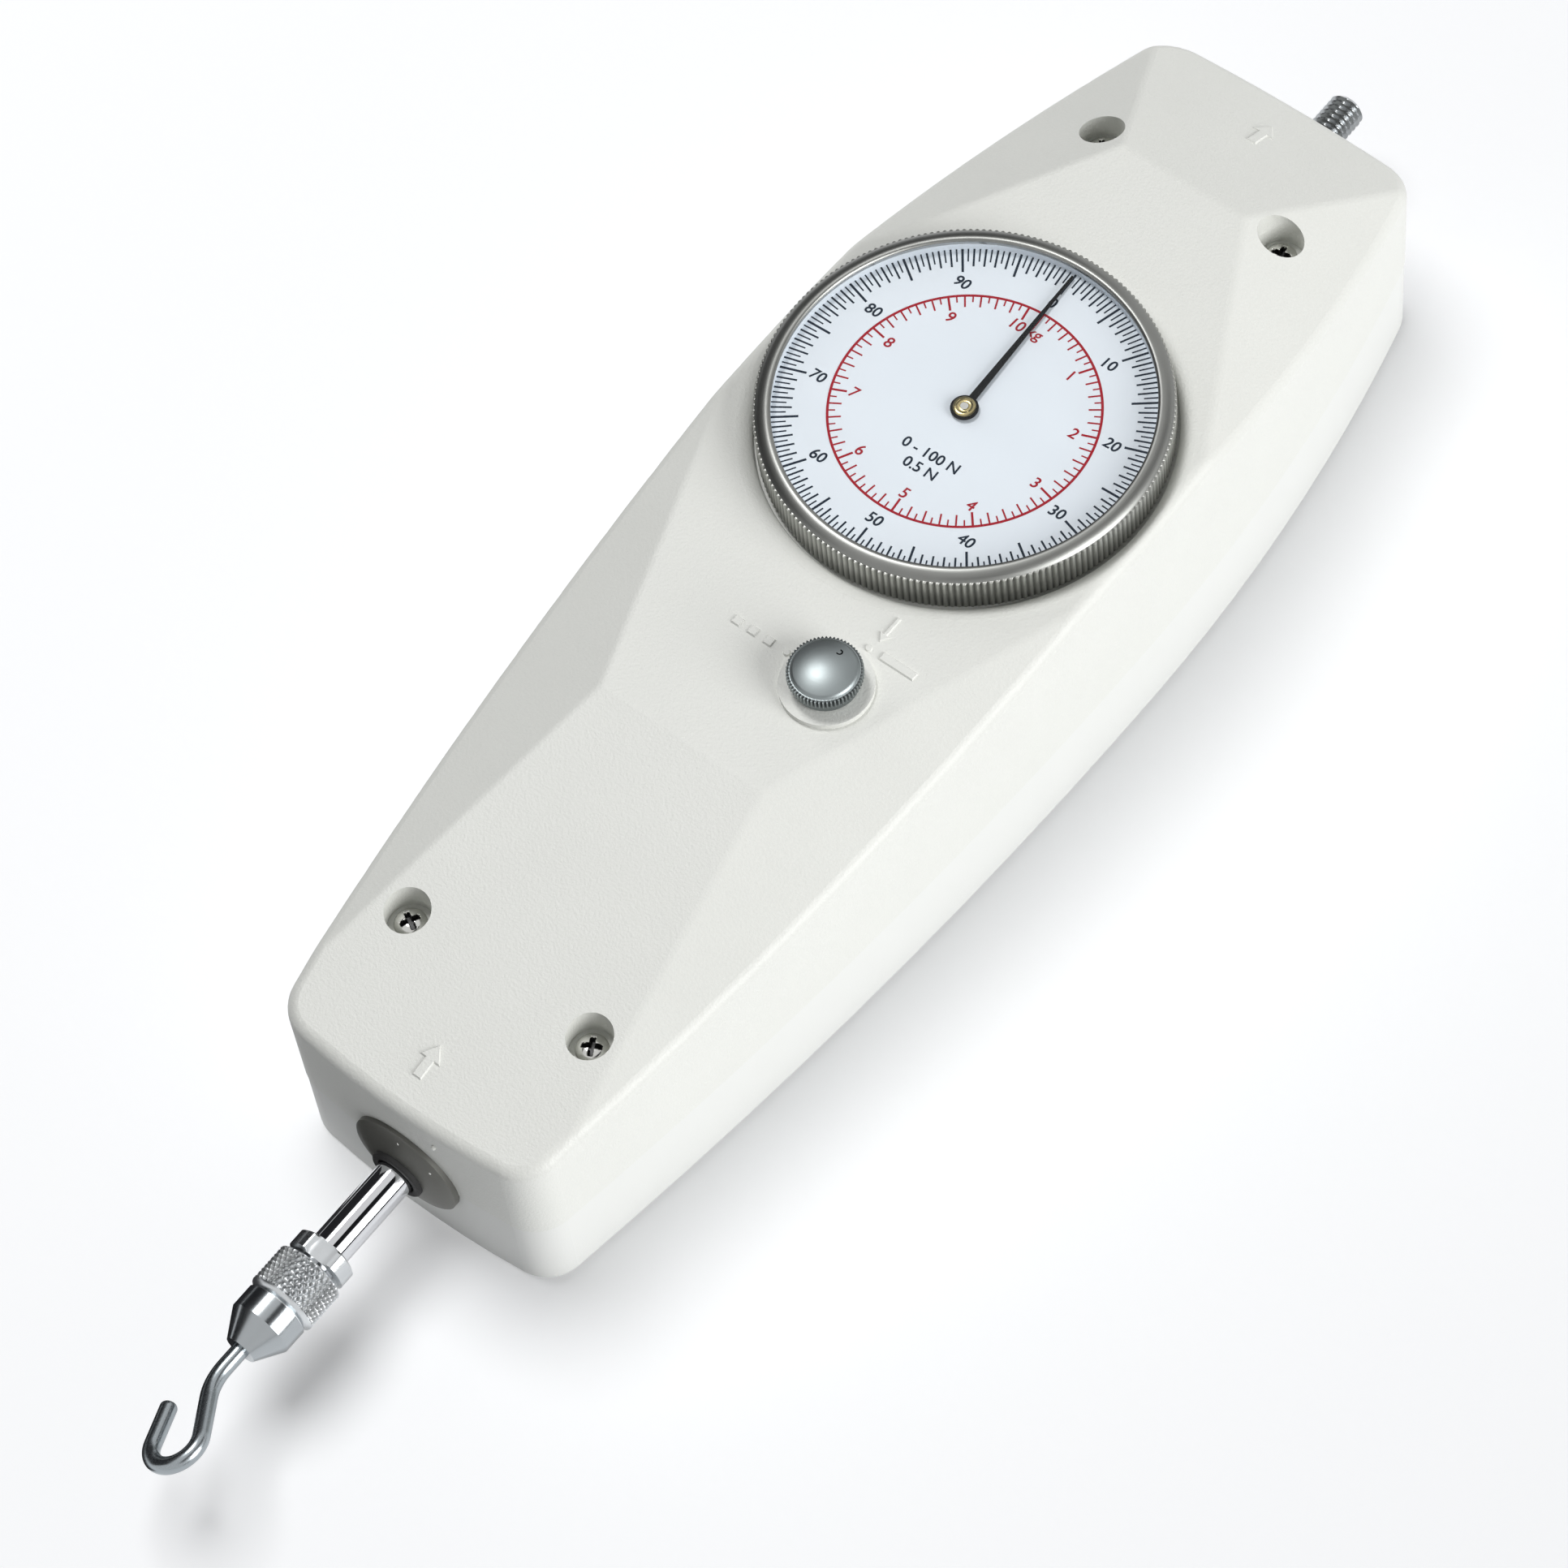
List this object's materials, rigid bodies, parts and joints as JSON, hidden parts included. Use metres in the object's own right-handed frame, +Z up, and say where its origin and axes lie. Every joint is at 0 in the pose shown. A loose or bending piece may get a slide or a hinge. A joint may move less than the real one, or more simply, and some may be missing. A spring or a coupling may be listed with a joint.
{
  "type": "force gauge",
  "caption": "Hand-held mechanical force gauge: sliding shaft with hook adapter, round dial with pointer in a turning bezel, and a peak-hold knob.",
  "frame": {"origin": "middle of the four mounting holes in the back face, on that face", "axes": "+X to the right and +Y toward the stud end as the dial is read, +Z up out of the dial; the shaft slides along +Y"},
  "size_m": [0.0676, 0.2846, 0.051],
  "materials": {
    "housing_paint": "fine textured off-white paint",
    "satin_aluminium": "satin turned",
    "nickel": "bright nickel plate",
    "shaft_chrome": "polished",
    "hook_steel": "bright drawn wire",
    "black_steel": "black oxide, satin",
    "spring_steel": "blued and oiled",
    "bush_bronze": "sintered bronze",
    "brass": "lacquered",
    "dial_white": "printed, matt",
    "pointer_black": "matt black",
    "crystal_glass": "clear, flat",
    "brake_rubber": "moulded pad"
  },
  "bodies": {
    "housing": {"front_housing": "housing_paint", "rear_cover": "housing_paint", "housing_screws": "nickel", "mounting_inserts": "brass", "push_flange": "black_steel", "pull_flange": "black_steel", "shaft_bushes": "bush_bronze", "movement_plate": "brass", "bridge_plate": "brass", "plate_pillars": "brass", "plate_screws": "nickel", "hairspring": "spring_steel", "hairspring_stud": "brass", "lever_pin": "nickel", "spring_seat": "nickel", "return_spring": "spring_steel"},
    "shaft": {"measuring_shaft": "shaft_chrome", "guide_pin": "nickel", "spring_collar": "nickel", "rack": "brass", "rack_carrier": "satin_aluminium", "rack_screws": "nickel", "lock_ring": "nickel", "adapter_body": "nickel", "adapter_nose": "nickel", "hook": "hook_steel"},
    "gear": {"gear_arbor": "nickel", "rack_pinion": "brass", "drive_gear": "brass"},
    "pointer_train": {"pointer_arbor": "nickel", "centre_pinion": "brass", "pointer": "pointer_black", "pointer_hub": "black_steel"},
    "bezel": {"bezel_ring": "satin_aluminium", "retaining_ring": "satin_aluminium", "dial_plate": "dial_white", "dial_spacer": "dial_white", "crystal": "crystal_glass"},
    "knob": {"selector_knob": "satin_aluminium", "knob_spindle": "nickel", "spindle_clip": "spring_steel"},
    "lever": {"peak_lever": "nickel", "brake_shoe": "brake_rubber"}
  },
  "joints": [
    {"name": "shaft_slide", "type": "slide", "parent": "housing", "child": "shaft", "axis": [0, 1, 0], "range_m": [0, 0.01], "stiffness_N_per_m": 10000, "deforming": ["return_spring"]},
    {"name": "gear_turn", "type": "hinge", "parent": "housing", "child": "gear", "pos_m": [-0.009, 0.01376, 0.03], "axis": [0, 0, 1], "range_deg": [0, 180.01]},
    {"name": "pointer_turn", "type": "hinge", "parent": "housing", "child": "pointer_train", "pos_m": [0, 0.025, 0.048], "axis": [0, 0, 1], "range_deg": [-360.02, 0]},
    {"name": "bezel_turn", "type": "hinge", "parent": "housing", "child": "bezel", "pos_m": [0, 0.025, 0.048], "axis": [0, 0, 1], "continuous": true},
    {"name": "knob_turn", "type": "hinge", "parent": "housing", "child": "knob", "pos_m": [0.0115, -0.022, 0.03], "axis": [0, 0, 1], "range_deg": [0, 90]},
    {"name": "lever_turn", "type": "hinge", "parent": "housing", "child": "lever", "pos_m": [0.009, 0.003, 0.029], "axis": [0, 0, 1], "range_deg": [0, 3.75]}
  ],
  "couplings": [
    {"joint": "gear_turn", "follows": "shaft_slide", "rad_per_m": 314.16},
    {"joint": "pointer_turn", "follows": "shaft_slide", "rad_per_m": -628.32},
    {"joint": "lever_turn", "follows": "knob_turn", "ratio": 0.0414}
  ]
}
